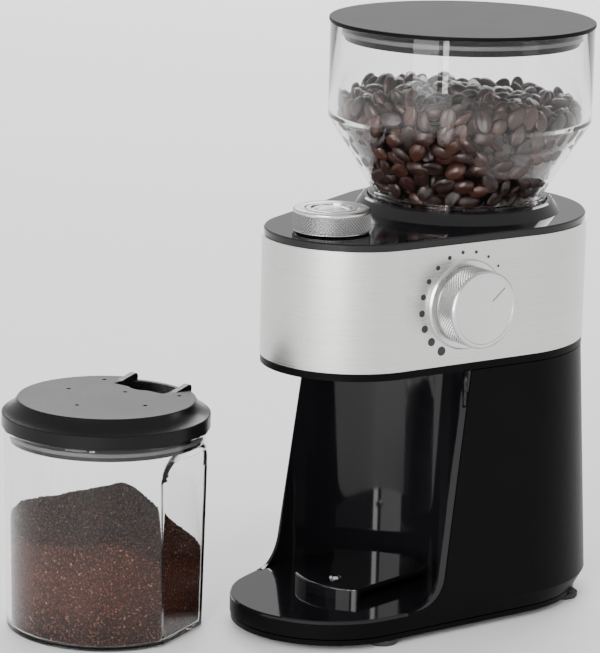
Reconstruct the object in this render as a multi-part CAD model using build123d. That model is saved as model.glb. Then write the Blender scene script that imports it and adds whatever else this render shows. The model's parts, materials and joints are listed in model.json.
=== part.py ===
from build123d import *
from math import acos, asin, atan2, cos, degrees, hypot, pi, radians, sin, sqrt, tan
import os

# A burr coffee grinder with its lift-off bean hopper, and its grounds container standing beside it.
# Everything is drawn with the hopper's axis at x = y = 0 and the worktop at z = 0. The container bay
# opens towards -X, the grind dial faces -Y, and the cord leaves at +X. The last lines move the whole
# set so that the origin is the middle of its footprint.

# ---- driving dimensions, millimetres
head_front_x, head_front_r = -74.4, 42.3      # the head is a teardrop: a small circle in front,
head_rear_x, head_rear_r = 2.1, 60.8          # a large one behind, and two tangent sides
base_front_x, base_front_r = -86.2, 46.0
base_rear_x, base_rear_r = 2.9, 65.9
heel_x, heel_r = 0.3, 63.2                    # the base's rear circle at its lowest edge

foot_h = 2.8
tray_top = 5.2
shell_bottom = 6.0
heel_top = 13.0
deck_z = 14.6
column_top = 124.2
head_bottom = 124.7
band_bottom = 128.3
band_top = 184.8
cover_z = 188.2

shell_wall = 2.5
band_wall = 0.8
gap = 0.3                                     # between pieces that move past each other

bay_x, bay_r, bay_wall = -62.0, 49.4, 1.5     # the container bay is a cylinder cut into the column
wing_top_x, wing_low_x, wing_low_z = -45.9, -62.3, 27.0
wing_sweep = 16.0                             # radius where the wing's edge runs out into the deck
step_x = -83.5                                # ahead of this the deck caps the base's wall
lip = 4.0
seat_r, seat_half, seat_h = 32.0, 19.5, 5.8   # the raised seat that centres the container
pin_x, pin_r = -81.0, 3.0

burr_r, burr_hole_r = 21.0, 12.0
burr_gap = 0.6
chamber_r, chamber_wall = 27.5, 2.5
shaft_r = 4.0
motor_x, motor_r = 26.0, 23.0

dial_z, dial_r = 156.5, 24.4                  # the ring of setting dots round the grind knob
dial_x = -51.8
dial_step, dial_dots = 18.0, 17
dot_first_r, dot_shrink = 2.2, 0.894          # the coarsest dot, and each next one's share of it
dial_first = -149.0                           # the coarsest dot, degrees clockwise from the top
knob_r, knob_out = 17.6, 15.5
selector_x, selector_r, selector_h = -90.0, 18.0, 11.1
button_r = 9.4

hopper_r, hopper_wall = 62.5, 4.0
hopper_rim, hopper_shoulder, hopper_neck_z = 276.4, 231.7, 195.6
neck_r, neck_bottom = 40.4, 184.6
lid_r, lid_top, plug_r = 63.05, 278.3, 56.6
bean_level = 246.0

can_x, can_y = -162.8, 71.5                   # where the container stands
can_turn, lid_turn = 14.8, 4.0                # how far it and its push-in lid are turned
can_top_r, can_foot_r, can_wall, can_h = 47.3, 45.7, 2.2, 96.0
can_seat_h = 6.4
grip_depth, grip_top, grip_corner = 3.5, 87.5, 9.0
rim_r, rim_bottom, rim_top = 48.35, 96.4, 102.7
lid_disc_r, lid_disc_z = 41.15, 109.0
mouth_near, mouth_half = 20.2, 15.2           # the filling mouth in the container's lid
vent_holes = [(0.60, 0.56), (0.60, -0.56), (0, 0.57), (0, -0.57), (-0.5, 0), (0.32, 0)]

gear_play = 0.14
first_module, motor_teeth, first_teeth = 0.8, 14, 56
second_module, second_teeth, drive_teeth = 1.0, 16, 44
ring_module, idler_teeth, ring_teeth = 1.0, 30, 76
crown_module, spindle_teeth, crown_teeth = 1.25, 12, 24

# ---- where the fixings, the feet, the hopper's switch and the cord's bush stand
deck_posts = [(-112, 18), (-112, -18), (-24, 40), (-24, -40)]
rear_posts = [(44, 28), (44, -28)]
cover_posts = [(-104, 18), (-104, -18), (50, 22), (50, -22)]
feet_at = [(-119, 0), (-91, -38.5), (-91, 38.5), (27, -52), (27, 52)]
switch_reach, switch_angle, switch_pin_r = 41.9, radians(60), 1.5
switch_x, switch_y = switch_reach * cos(switch_angle), switch_reach * sin(switch_angle)
cord_x, cord_z, cord_r = 62.4, 24.0, 3.4      # the bush's inner end, its height and its bore
cord_bush = 5.9                               # the bush's length

# ---- levels inside the head
plate_z0, plate_z1 = 130.5, 134.0
first_gear_z, drive_gear_z = 134.4, 140.0
gear_cover_z0, gear_cover_z1 = 147.5, 149.5
chamber_z0, chamber_z1 = 150.0, 170.0
hub_z, lower_burr_z = 153.5, 158.0
burr_t = 5.0
upper_burr_z = lower_burr_z + burr_t + burr_gap
ring_z0, ring_z1 = 171.0, 176.0
carrier_top = 177.2
shelf_z0, shelf_z1 = 141.0, 143.0


def outline(front_x, front_r, rear_x, rear_r, inset, z):
    """A teardrop face at height z: two circles joined by their outer tangents."""
    front_r, rear_r = front_r - inset, rear_r - inset
    tilt = asin((rear_r - front_r) / (rear_x - front_x))
    nx, ny = -sin(tilt), cos(tilt)
    front_left = (front_x + front_r * nx, front_r * ny)
    rear_left = (rear_x + rear_r * nx, rear_r * ny)
    rear_right = (rear_left[0], -rear_left[1])
    front_right = (front_left[0], -front_left[1])
    edges = [
        Line(front_left, rear_left),
        ThreePointArc(rear_left, (rear_x + rear_r, 0), rear_right),
        Line(rear_right, front_right),
        ThreePointArc(front_right, (front_x - front_r, 0), front_left),
    ]
    return Pos(0, 0, z) * make_face(edges)


def head_outline(inset, z):
    return outline(head_front_x, head_front_r, head_rear_x, head_rear_r, inset, z)


def base_outline(inset, z):
    return outline(base_front_x, base_front_r, base_rear_x, base_rear_r, inset, z)


def heel_outline(inset, z):
    return outline(base_front_x, base_front_r, heel_x, heel_r, inset, z)


def head_prism(inset, z0, z1):
    return extrude(head_outline(inset, z0), z1 - z0)


def disc(radius, z0, z1, x=0, y=0):
    return Pos(x, y, z0) * Cylinder(radius, z1 - z0, align=(Align.CENTER, Align.CENTER, Align.MIN))


def ring(outer, inner, z0, z1, x=0, y=0):
    return disc(outer, z0, z1, x, y) - disc(inner, z0 - 1, z1 + 1, x, y)


def block(x0, x1, y0, y1, z0, z1):
    return Pos((x0 + x1) / 2, (y0 + y1) / 2, (z0 + z1) / 2) * Box(abs(x1 - x0), abs(y1 - y0), abs(z1 - z0))


def turned(points):
    """A solid of revolution about Z from (radius, height) corners."""
    return revolve(make_face(Plane.XZ * Polyline(*points, close=True)), Axis.Z)


def one_node(shapes):
    """Several separate solids that share a node."""
    return Compound([solid for shape in shapes for solid in shape.solids()])


# ---- the side plane that carries the grind dial
side_tilt = asin((head_rear_r - head_front_r) / (head_rear_x - head_front_x))
side_normal = Vector(-sin(side_tilt), -cos(side_tilt), 0)
side_offset = side_normal.X * head_front_x + head_front_r
dial_y = (side_offset - side_normal.X * dial_x) / side_normal.Y
dial_point = Vector(dial_x, dial_y, dial_z)
# local X runs to the right for someone who faces the dial, local Z points out of the head
dial_plane = Plane(origin=dial_point, x_dir=(cos(side_tilt), -sin(side_tilt), 0), z_dir=side_normal)

# ---- gear centres
first_reach = first_module * (motor_teeth + first_teeth) / 2
second_reach = second_module * (second_teeth + drive_teeth) / 2
layshaft_x = (second_reach ** 2 - first_reach ** 2 + motor_x ** 2) / (2 * motor_x)
layshaft_y = sqrt(second_reach ** 2 - layshaft_x ** 2)
ring_reach = ring_module * (ring_teeth + idler_teeth) / 2
inward = dial_point.X * side_normal.X + dial_point.Y * side_normal.Y
dial_distance = hypot(dial_point.X, dial_point.Y)
idler_depth = inward - sqrt(inward ** 2 - dial_distance ** 2 + ring_reach ** 2)
idler_x = dial_point.X - idler_depth * side_normal.X
idler_y = dial_point.Y - idler_depth * side_normal.Y
crown_r = crown_module * crown_teeth / 2
spindle_r = crown_module * spindle_teeth / 2


def gear_blank(module, teeth, z0, z1, tooth_at):
    """A spur gear with involute flanks, one tooth pointing along tooth_at, in radians."""
    pitch = module * teeth / 2
    base = pitch * cos(radians(20))
    tip, root = pitch + 0.9 * module, pitch - 1.2 * module
    half = pi / (2 * teeth) - gear_play / (2 * pitch)

    def flank(radius):
        roll = acos(min(1, base / radius))
        return tan(roll) - roll

    start = max(base, root)
    radii = [start, (start + tip) / 2, tip]
    side = [(root, half + flank(pitch))] + [(r, half + flank(pitch) - flank(r)) for r in radii]
    tooth = [(r, -a) for r, a in side] + [(r, a) for r, a in reversed(side)]
    points = []
    for index in range(teeth):
        middle = tooth_at + 2 * pi * index / teeth
        points += [(r * cos(middle + a), r * sin(middle + a)) for r, a in tooth]
    return Pos(0, 0, z0) * extrude(make_face(Polyline(*points, close=True)), z1 - z0)


def facing(x, y, to_x, to_y):
    """The direction from one point to another, in radians."""
    return atan2(to_y - y, to_x - x)


# ---- base, column and bay

def front_cut(shift, skirt_z):
    """Everything in front of the wings' edges and above the skirt, across the whole width."""
    lean = (wing_top_x - wing_low_x) / (column_top - wing_low_z)
    foot_x = wing_low_x - lean * (wing_low_z - deck_z) - shift
    top_x = wing_top_x + lean * 60 - shift
    corners = [(-250, skirt_z), (step_x, skirt_z), (step_x, deck_z), (foot_x, deck_z),
               (top_x, column_top + 60), (-250, column_top + 60)]
    face = make_face(Plane.XZ * Polyline(*corners, close=True))
    sweep = face.vertices().sort_by_distance((foot_x, 0, deck_z))[0]
    return extrude(fillet(sweep, wing_sweep), 200, both=True)


def column_body(inset, z0, z1):
    """The solid of the whole base and column, drafted, with its heel tucked in."""
    lower = loft([heel_outline(inset, shell_bottom), base_outline(inset, heel_top)], ruled=True)
    upper_face = head_outline(0.4 + inset, column_top)
    upper = loft([base_outline(inset, heel_top), upper_face], ruled=True)
    body = lower + upper
    if z0 < shell_bottom:
        body += extrude(heel_outline(inset, z0), shell_bottom - z0)
    if z1 > column_top:
        body += extrude(upper_face, z1 - column_top)
    return body


def column_shell():
    shell = column_body(0, shell_bottom, column_top)
    shell -= column_body(shell_wall, shell_bottom - 2, column_top + 2)
    shell -= front_cut(0, heel_top)
    shell -= disc(bay_r + bay_wall + 0.1, heel_top, column_top + 1, bay_x)
    shell -= Pos(base_rear_x + base_rear_r, 0, 24) * Rot(0, 90, 0) * Cylinder(6.2, 20)
    return shell.solids().sort_by(SortBy.VOLUME)[-1]


def bay_liner():
    wall = ring(bay_r + bay_wall, bay_r, deck_z, column_top, bay_x)
    wall = (wall & column_body(1.0, shell_bottom, column_top)) - front_cut(lip, heel_top)
    edge = column_body(0.35, shell_bottom, column_top) & block(-80, -20, -70, 70, deck_z, column_top)
    edge -= disc(bay_r, 0, 200, bay_x)
    edge = (edge - front_cut(lip, heel_top)) & front_cut(0.5, heel_top)
    liner = wall + edge
    for side in (-1, 1):
        notch = block(-3.3, 0, side * 54, side * 46.5, -17, 1)
        liner -= Pos(wing_top_x - 2.2, 0, column_top) * notch
    return liner.solids().sort_by(SortBy.VOLUME)[-1]


def base_deck():
    cap = extrude(base_outline(0.15, heel_top), deck_z - heel_top) & block(-200, step_x, -80, 80, 0, 40)
    cap = chamfer(cap.edges().group_by(Axis.Z)[-1].filter_by(GeomType.CIRCLE), 0.5)
    floor = extrude(base_outline(shell_wall + 0.15, heel_top), deck_z - heel_top)
    floor &= block(step_x - 1, bay_x + bay_r + 4, -80, 80, 0, 40)
    seat = disc(seat_r, deck_z, deck_z + seat_h, bay_x)
    seat &= block(-120, 0, -seat_half, seat_half, 0, 40)
    seat -= disc(seat_r - 2, deck_z - 1, deck_z + seat_h - 2, bay_x)
    seat_top = fillet(seat.edges().group_by(Axis.Z)[-1], 0.8)
    deck = cap + floor + seat_top
    deck -= disc(pin_r + gap, 0, 40, pin_x)
    for x, y in deck_posts:
        deck += ring(3.6, 1.25, tray_top + 0.2, heel_top + 0.2, x, y)
    return deck


def base_tray():
    tray = extrude(heel_outline(0.5, foot_h), tray_top - foot_h)
    tray += extrude(heel_outline(3.0, tray_top), 5) - extrude(heel_outline(4.6, tray_top), 5)
    for x, y in feet_at:
        tray -= disc(6.0, 0, foot_h + 1.2, x, y)
    for x, y in deck_posts + rear_posts:
        tray -= disc(1.7, 0, 20, x, y) + disc(3.2, 0, foot_h + 1.3, x, y)
    for row in range(9):
        tray -= Pos(8 + 4.5 * row, 0, 4) * Box(2, 34, 6)
    return tray


def rubber_feet():
    foot = turned([(0, 0), (6.4, 0), (7.3, 0.9), (7.3, foot_h - 0.1), (5.8, foot_h - 0.1),
                   (5.8, foot_h + 1.1), (0, foot_h + 1.1)])
    return one_node([Pos(x, y, 0) * foot for x, y in feet_at])


def case_screws():
    """Six screws up through the base, and four that hold the top cover from inside."""
    head = turned([(0, foot_h + 0.2), (2.9, foot_h + 0.2), (2.9, foot_h + 1.2), (1.2, foot_h + 1.2),
                   (1.2, 12.5), (0, 12.5)])
    head -= Pos(0, 0, foot_h + 0.2) * Box(3.2, 0.8, 1.0) + Pos(0, 0, foot_h + 0.2) * Box(0.8, 3.2, 1.0)
    inner = disc(1.4, shelf_z0 - 0.1, 160) + disc(2.6, shelf_z0 - 2.2, shelf_z0 - 0.1)
    return one_node([Pos(x, y, 0) * head for x, y in deck_posts + rear_posts]
                    + [Pos(x, y, 0) * inner for x, y in cover_posts])


def cord_gland():
    """A flanged rubber bush in the rear wall. The cord leaves through its bore."""
    bush = disc(8.2, 0, 2.2) + disc(6.1, 2.2, cord_bush)
    bush -= Cylinder(cord_r, 30)
    return Pos(cord_x, 0, cord_z) * Rot(0, 90, 0) * bush


def container_pin():
    pin = turned([(0, 11.2), (4.6, 11.2), (4.6, 12.7), (pin_r - 0.1, 12.7), (pin_r - 0.1, 20.6),
                  (2.1, 21.6), (0, 22.1)])
    return Pos(pin_x, 0, 0) * pin


# ---- motor

def motor_can():
    can = ring(motor_r, motor_r - 1.5, 62, 130.2)
    can += ring(motor_r - 0.5, 6.0, 128.2, 130.2) - disc(1.5, 0, 200, 0, 14) - disc(1.5, 0, 200, 0, -14)
    return Pos(motor_x, 0, 0) * can


def motor_magnets():
    arc = ring(21.3, 17.0, 74, 118) & block(-30, 30, 5, 30, 60, 130)
    return Pos(motor_x, 0, 0) * one_node([arc, Rot(0, 0, 180) * arc])


def motor_end_cap():
    cap = ring(motor_r, 3.4, 54, 61.8) - disc(16.5, 56.4, 70)
    cap += ring(21.2, 19, 61.8, 66)
    return Pos(motor_x, 0, 0) * cap


def motor_brushes():
    brush = block(8.1, 16.3, -2.2, 2.2, 57, 61)
    return Pos(motor_x, 0, 0) * one_node([brush, Rot(0, 0, 180) * brush])


def motor_rotor():
    core = disc(16.2, 76, 116)
    for index in range(10):
        core -= Rot(0, 0, 36 * index) * (Pos(12.6, 0, 96) * Box(9, 2.4, 60))
    core += disc(7.8, 56.5, 74)
    core += disc(10.5, 70, 122)
    core += disc(2.5, 55, 138.6)
    return Pos(motor_x, 0, 0) * core


def shaft_bushes():
    """Bronze bushes: two for the motor's shaft and one in the gear plate for the burr shaft."""
    return one_node([ring(5.9, 2.53, 124, 129, motor_x), ring(3.35, 2.53, 54.2, 56.3, motor_x),
                     ring(7.0, shaft_r + 0.03, plate_z0 + 0.1, plate_z1 - 0.1)])


def motor_screws():
    """Two screws through the gear plate into the motor's face."""
    screw = disc(1.5, 128.4, plate_z1) + disc(2.9, plate_z1, plate_z1 + 1.6)
    return one_node([Pos(motor_x, side * 14, 0) * screw for side in (-1, 1)])


# ---- gear train

def motor_pinion():
    toward = facing(motor_x, 0, layshaft_x, layshaft_y)
    pinion = gear_blank(first_module, motor_teeth, first_gear_z, first_gear_z + 4.8, toward)
    return Pos(motor_x, 0, 0) * (pinion - disc(2.5, 0, 200))


def layshaft_gear():
    back = facing(layshaft_x, layshaft_y, motor_x, 0)
    big = gear_blank(first_module, first_teeth, first_gear_z, first_gear_z + 4.6, back + pi / first_teeth)
    ahead = facing(layshaft_x, layshaft_y, 0, 0)
    small = gear_blank(second_module, second_teeth, first_gear_z + 4.6, 146.4, ahead)
    web = ring(19.5, 10.5, first_gear_z + 3.4, first_gear_z + 6) + ring(19.5, 10.5, 130, first_gear_z + 1.2)
    gear = big - web + small - disc(2.55, 0, 200)
    return Pos(layshaft_x, layshaft_y, 0) * gear


def gear_pins():
    """The fixed pins that the layshaft gear and the adjusting idler turn on."""
    layshaft = disc(2.5, plate_z0 + 0.2, 148.9, layshaft_x, layshaft_y)
    return one_node([layshaft, disc(2.5, plate_z0, 177.2, idler_x, idler_y)])


def drive_gear():
    back = facing(0, 0, layshaft_x, layshaft_y)
    gear = gear_blank(second_module, drive_teeth, drive_gear_z, 146.0, back + pi / drive_teeth)
    gear -= ring(19.5, 8.5, 144, 150)
    return gear - disc(shaft_r, 0, 200)


def burr_shaft():
    shaft = disc(shaft_r, plate_z0 + 0.3, 166)
    return shaft - block(3.2, 6, -6, 6, hub_z - 0.2, 170)


def shaft_bearing():
    """A ball bearing drawn as its two rings and eight balls."""
    rings = [ring(6.0, shaft_r + 0.02, 147, 151.8), ring(9.5, 7.6, 147, 151.8)]
    balls = [Rot(0, 0, 45 * n) * Pos(6.8, 0, 149.4) * Sphere(0.75) for n in range(8)]
    return one_node(rings + balls)


def shaft_seal():
    return ring(10.5, shaft_r + 0.1, 152.1, 153.2)


def gear_plate():
    """The metal plate that the motor hangs from and the gears run on, with its three legs."""
    plate = head_prism(6.0, plate_z0, plate_z1) & block(-26, 60, -60, 60, 100, 160)
    plate -= disc(7.0, 0, 200) + disc(7.2, 0, 200, motor_x) + disc(2.5, 0, 200, layshaft_x, layshaft_y)
    for side in (-1, 1):
        plate -= disc(1.6, 0, 200, motor_x, side * 14)
        plate += block(-2, 6, side * 46, side * 49.5, tray_top + 5.4, plate_z0)
        plate += disc(4.2, tray_top + 0.2, tray_top + 14, rear_posts[0][0], rear_posts[0][1] * side)
        plate += block(42, 46, side * 24, side * 32, tray_top + 12, plate_z0)
        plate -= disc(1.25, 0, tray_top + 10, rear_posts[0][0], rear_posts[0][1] * side)
    return plate


def cover_plan(grow, z0, z1):
    plan = disc(24.6 + grow, z0, z1) + disc(24.6 + grow, z0, z1, layshaft_x, layshaft_y)
    return plan + disc(9.0 + grow, z0, z1, motor_x)


def gear_cover():
    cover = cover_plan(1.8, plate_z1, gear_cover_z1) - cover_plan(0, plate_z1 - 1, gear_cover_z0)
    cover -= disc(9.5, 0, 200)
    return cover - disc(2.5, 140, 200, layshaft_x, layshaft_y)


# ---- burrs and their adjustment

def burr_face(z, up):
    """Radial feed grooves cut into a burr's working face."""
    cuts = None
    for index in range(12):
        groove = Rot(0, 0, 30 * index) * Pos(17, 1.5, z) * Rot(45 if up else -45, 0, 12) * Box(14, 1.8, 1.8)
        cuts = groove if cuts is None else cuts + groove
    return cuts


def lower_burr():
    burr = ring(burr_r, burr_hole_r, lower_burr_z, lower_burr_z + burr_t)
    return burr - burr_face(lower_burr_z + burr_t, True)


def upper_burr():
    burr = ring(burr_r, burr_hole_r, upper_burr_z, upper_burr_z + burr_t)
    return burr - burr_face(upper_burr_z, False)


def burr_hub():
    """Carries the lower burr and sweeps the grounds round to the chute."""
    hub = disc(24.5, hub_z, lower_burr_z) + disc(11.8, lower_burr_z, lower_burr_z + 3.5)
    for index in range(6):
        hub += Rot(0, 0, 60 * index) * block(20.5, 26.6, -1.2, 1.2, hub_z, lower_burr_z + 2.5)
    hub -= disc(burr_r + 0.05, lower_burr_z, 200) - disc(11.8, lower_burr_z, 200)
    hub -= disc(shaft_r + 0.02, 0, 200) - block(3.25, 6, -6, 6, 150, 170)
    return hub


def feed_nut():
    """The cone nut on top of the shaft, with two wings that pull beans in."""
    nut = turned([(0, 161.6), (9.5, 161.6), (9.5, 164), (5, 171), (2.5, 173.5), (0, 174)])
    for side in (0, 180):
        nut += Rot(0, 0, side) * Pos(6.3, 0, 165.6) * Rot(18, 0, 0) * Box(7.2, 2.4, 7.6)
    return nut - disc(shaft_r + 0.02, 0, 166.2) - disc(40, 100, 161.6)


def burr_chamber():
    outer = chamber_r + chamber_wall
    cup = disc(outer, chamber_z0, chamber_z1) - disc(chamber_r, chamber_z0 + 2, chamber_z1 + 1)
    cup -= disc(9.5, 0, 200)
    cup -= disc(10.6, 151.9, 153)
    return cup - block(-40, -20, -10, 10, 152.0, 161)


def chute():
    """The duct that turns the grounds down into the container."""
    duct = block(-44, -28, -13, 13, 130.8, 163) - block(-42.2, -30, -11, 11, 129, 161.2)
    duct -= block(-33, -20, -10, 10, 152.0, 161)
    return duct - disc(chamber_r + chamber_wall + 0.1, 100, 200)


def chute_gasket():
    return block(-44, -28.2, -13, 13, 125.6, 130.7) - block(-42, -30.2, -11, 11, 120, 140)


def burr_carrier():
    """Holds the upper burr. It slides up and down without turning, on three lugs."""
    tube = ring(24.0, burr_r - 1.0, upper_burr_z + 1.0, carrier_top)
    tube += ring(24.0, 14.0, upper_burr_z + burr_t, upper_burr_z + burr_t + 2.0)
    tube -= disc(burr_r + 0.02, upper_burr_z - 1, upper_burr_z + burr_t)
    for index in range(3):
        tube += Rot(0, 0, 120 * index) * block(22, 31.5, -4, 4, ring_z1 - 0.6, carrier_top)
    return tube


def burr_screws():
    head = disc(1.9, upper_burr_z + burr_t + 2.0, upper_burr_z + burr_t + 3.4)
    return one_node([Rot(0, 0, 60 + 120 * n) * Pos(17.4, 0, 0) * head for n in range(3)])


def adjust_ring():
    """The toothed ring whose three ramps lift the burr carrier's lugs."""
    toward = facing(0, 0, idler_x, idler_y)
    blank = gear_blank(ring_module, ring_teeth, ring_z0, ring_z1 - 1, toward)
    blank -= disc(24.4, 0, 200)
    blank += ring(27.1, 24.4, 166, ring_z0)
    return blank - ring(34.5, 28, ring_z1 - 1.8, 200)


def adjust_idler():
    """A spur gear over a crown of teeth: it turns the knob's motion through a right angle."""
    back = facing(idler_x, idler_y, 0, 0)
    spur = gear_blank(ring_module, idler_teeth, ring_z0 - 0.2, ring_z1 - 0.8, back + pi / idler_teeth)
    under = dial_z + spindle_r + 1.3 * crown_module
    wheel = spur + disc(crown_r + 1.7, under, ring_z0 - 0.2)
    tip = dial_z + spindle_r - 0.8 * crown_module
    top_half, tip_half = 0.95, 0.42
    corners = [(-top_half, under + 0.2), (top_half, under + 0.2), (tip_half, tip), (-tip_half, tip)]
    tooth = extrude(make_face(Plane.YZ * Polyline(*corners, close=True)), 2.6)
    out = degrees(facing(0, 0, side_normal.X, side_normal.Y))
    for index in range(crown_teeth):
        angle = out + (index + 0.5) * 360 / crown_teeth
        wheel += Rot(0, 0, angle) * Pos(crown_r - 1.1, 0, 0) * tooth
    return Pos(idler_x, idler_y, 0) * (wheel - disc(2.55, 0, 200))


def knob_spindle():
    """The grind knob's spindle, from inside the knob to its pinion."""
    pinion = gear_blank(crown_module, spindle_teeth, 0, 2.2, pi / 2)
    inner = idler_depth - crown_r - 1.2
    spindle = Pos(0, 0, -inner) * pinion
    spindle += Pos(0, 0, -inner) * Cylinder(3.0, inner + 9, align=(Align.CENTER, Align.CENTER, Align.MIN))
    return dial_plane * spindle


# ---- head

def head_band():
    band = head_prism(0, band_bottom, band_top) - head_prism(band_wall, band_bottom - 1, band_top + 1)
    return band - dial_plane * Cylinder(5.2, 12)


def head_frame():
    """The moulded frame behind the band. It holds the dial's bearing and the idler's pin."""
    frame = head_prism(band_wall + 0.1, plate_z0 - 0.2, band_top) - head_prism(3.3, 100, band_top + 1)
    frame += dial_plane * Pos(0, 0, -3) * Cylinder(7.5, 4)
    frame -= dial_plane * Cylinder(3.05, 40)
    frame += head_prism(1.5, shelf_z0, shelf_z1) & block(-125, -60, -60, 60, 130, 150)
    for x, y in cover_posts[2:]:
        frame += disc(6, shelf_z0, shelf_z1, x, y) & head_prism(1.5, 130, 150)
    for x, y in cover_posts:
        frame -= disc(1.7, 100, 200, x, y)
    return frame


def head_floor():
    """The black lower trim and the ceiling of the container bay, in one moulding."""
    trim = head_prism(0.2, head_bottom, band_bottom) - head_prism(2.8, head_bottom - 1, band_bottom + 1)
    floor = head_prism(0.9, band_bottom, plate_z0 - 0.3)
    floor -= disc(motor_r + 0.6, 0, 200, motor_x)
    floor -= block(-44.3, -27.9, -13.3, 13.3, 100, 140)
    for side in (-1, 1):
        floor -= block(-2.5, 6.5, side * 45.5, side * 50, 100, 140)
        floor -= block(41.5, 46.5, side * 23.5, side * 32.5, 100, 140)
    return trim + floor


def top_cover():
    plate = head_prism(0.7, band_top, cover_z)
    plate = chamfer(plate.edges().group_by(Axis.Z)[-1], 0.6)
    plate += head_prism(3.6, 180, band_top) - head_prism(5.2, 179, band_top)
    collar = turned([(neck_r + 2.6, cover_z - 0.5), (49.5, cover_z - 0.5), (48.5, cover_z + 0.9),
                     (45.6, cover_z + 4.9), (44.6, cover_z + 5.6), (neck_r + 2.6, cover_z + 5.6)])
    cover = plate + collar - disc(neck_r + 0.6, 0, cover_z - 1.3) - disc(neck_r + 2.6, cover_z - 1.3, 300)
    cover -= disc(7.4, 0, 300, selector_x)
    for x, y in cover_posts:
        cover += ring(3.4, 1.45, shelf_z1 + 0.1, band_top, x, y)
    return cover - disc(switch_pin_r + 0.1, 0, 300, switch_x, switch_y)


def hopper_gasket():
    gasket = ring(neck_r + 2.4, neck_r + 0.9, cover_z - 1.2, cover_z + 0.4)
    return gasket - disc(2.2, 100, 300, switch_x, switch_y)


def bean_funnel():
    """Leads the beans from the hopper's neck to the burrs."""
    funnel = turned([(neck_r - 0.4, 184.2), (neck_r - 0.4, 182.6), (19.4, 178.2), (19.4, 174.5),
                     (18.2, 174.5), (18.2, 179.6), (38.0, 184.2)])
    rim = ring(54, neck_r - 0.8, 182.6, 184.6) - disc(3.7, 100, 200, *cover_posts[2])
    rim -= disc(3.7, 100, 200, *cover_posts[3])
    return funnel + rim - disc(switch_pin_r + 0.4, 0, 300, switch_x, switch_y)


def micro_switches():
    """The switches under the container's pin and under the hopper's pin."""
    body = block(-5.5, 5.5, -3.2, 3.2, 0, 3.6) + block(-1.5, 1.5, -1.5, 1.5, 3.6, 4.0)
    body -= disc(1.0, -1, 9, 3.9) + disc(1.0, -1, 9, -3.9)
    ears = block(-7, -5.5, -2, 2, 0, 7.4) + block(5.5, 7, -2, 2, 0, 7.4)
    upper = Pos(switch_x, switch_y, 175.2) * Rot(0, 0, 150) * (body + ears)
    return one_node([Pos(pin_x, 0, tray_top + 0.1) * body, upper])


def hopper_switch_pin():
    pin = turned([(0, 181.0), (1.7, 181.0), (1.7, 182.0), (switch_pin_r - 0.1, 182.0),
                  (switch_pin_r - 0.1, 187.2), (0.8, 188.2), (0, 188.4)])
    return Pos(switch_x, switch_y, 0) * pin


def grind_knob():
    knob = Cylinder(knob_r + 0.5, knob_out - 2.4, align=(Align.CENTER, Align.CENTER, Align.MIN))
    knob = chamfer(knob.edges().group_by(Axis.Z)[-1], 0.9)
    knob -= Pos(0, 0, knob_out - 2.4 - 0.5) * Cylinder(knob_r - 2.6, 1)
    knob -= Cylinder(3.0, 13.4)
    knob -= ring(knob_r - 2.0, 6.0, -1, 7)
    return dial_plane * Pos(0, 0, 2.4) * knob


def knob_collar():
    collar = ring(21.1, 5.3, 0.05, 2.1)
    return dial_plane * chamfer(collar.edges().group_by(Axis.Z)[-1].sort_by(SortBy.LENGTH)[-1:], 0.7)


def dial_marks():
    """The printed setting dots, from coarse to fine."""
    marks = []
    for index in range(dial_dots):
        size = dot_first_r * dot_shrink ** index
        angle = radians(dial_first + dial_step * index)
        spot = Cylinder(size, 0.12, align=(Align.CENTER, Align.CENTER, Align.MIN))
        marks.append(dial_plane * Pos(dial_r * sin(angle), dial_r * cos(angle), 0.01) * spot)
    return one_node(marks)


def selector_knob():
    z0 = cover_z + 0.5
    knob = disc(selector_r, z0, z0 + selector_h - 0.5)
    knob = chamfer(knob.edges().group_by(Axis.Z)[-1], 0.9)
    knob -= ring(12.6, 11.9, z0 + selector_h - 1.2, 300)
    knob -= disc(button_r + gap, z0 + 4.6, 300)
    knob += disc(7.0, 176, z0 + 1) - disc(4.2, 170, z0 + 0.5)
    knob -= disc(2.2 + gap, 0, 300)
    return Pos(selector_x, 0, 0) * knob


def start_button():
    z0 = cover_z + 0.5
    top = disc(button_r, z0 + 6.6, z0 + selector_h - 1.1)
    top = fillet(top.edges().group_by(Axis.Z)[-1], 0.5)
    return Pos(selector_x, 0, 0) * (top + disc(2.2, 171.5, z0 + 7))


def selector_switch():
    body = block(-9, 9, -9, 9, shelf_z1 + 1.6, 152) + disc(6.5, 152, 166) + disc(2.4, 160, 169.6)
    return Pos(selector_x, 0, 0) * body


def control_board():
    """The printed circuit board with its tall parts: capacitors, relay, connector and controller."""
    top = shelf_z1 + 1.6
    board = block(-106, -66, -14, 14, shelf_z1, top)
    tall = [
        disc(5.0, top, 158, -73, 8),
        disc(4.0, top, 156, -73, -8),
        block(-105.5, -99.5, 3, 12, top, 153),
        block(-105.5, -99.5, -12, -4, top, 151),
        block(-79, -68, -2.4, 2.4, top, 148),
    ]
    return one_node([board] + tall)


# ---- hopper

def hopper():
    inner = hopper_r - hopper_wall
    neck_in = neck_r - 2.6
    hull = turned([
        (neck_r - 0.4, neck_bottom + 1.5), (neck_r - 0.4, hopper_neck_z - 1.6), (neck_r, hopper_neck_z),
        (hopper_r, hopper_shoulder), (hopper_r, hopper_rim), (inner, hopper_rim),
        (inner, hopper_shoulder + 1.6), (neck_in, hopper_neck_z + 0.4), (neck_in, neck_bottom + 1.5),
    ])
    for index in range(4):
        lug = ring(neck_r + 2.1, neck_r - 1.2, 190.6, 193.2) & block(30, 50, -9, 9, 180, 200)
        hull += Rot(0, 0, 15 + 90 * index) * lug
    hull += ring(neck_r + 2.1, neck_r - 1.2, 193.9, 195.2)
    return hull


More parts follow.
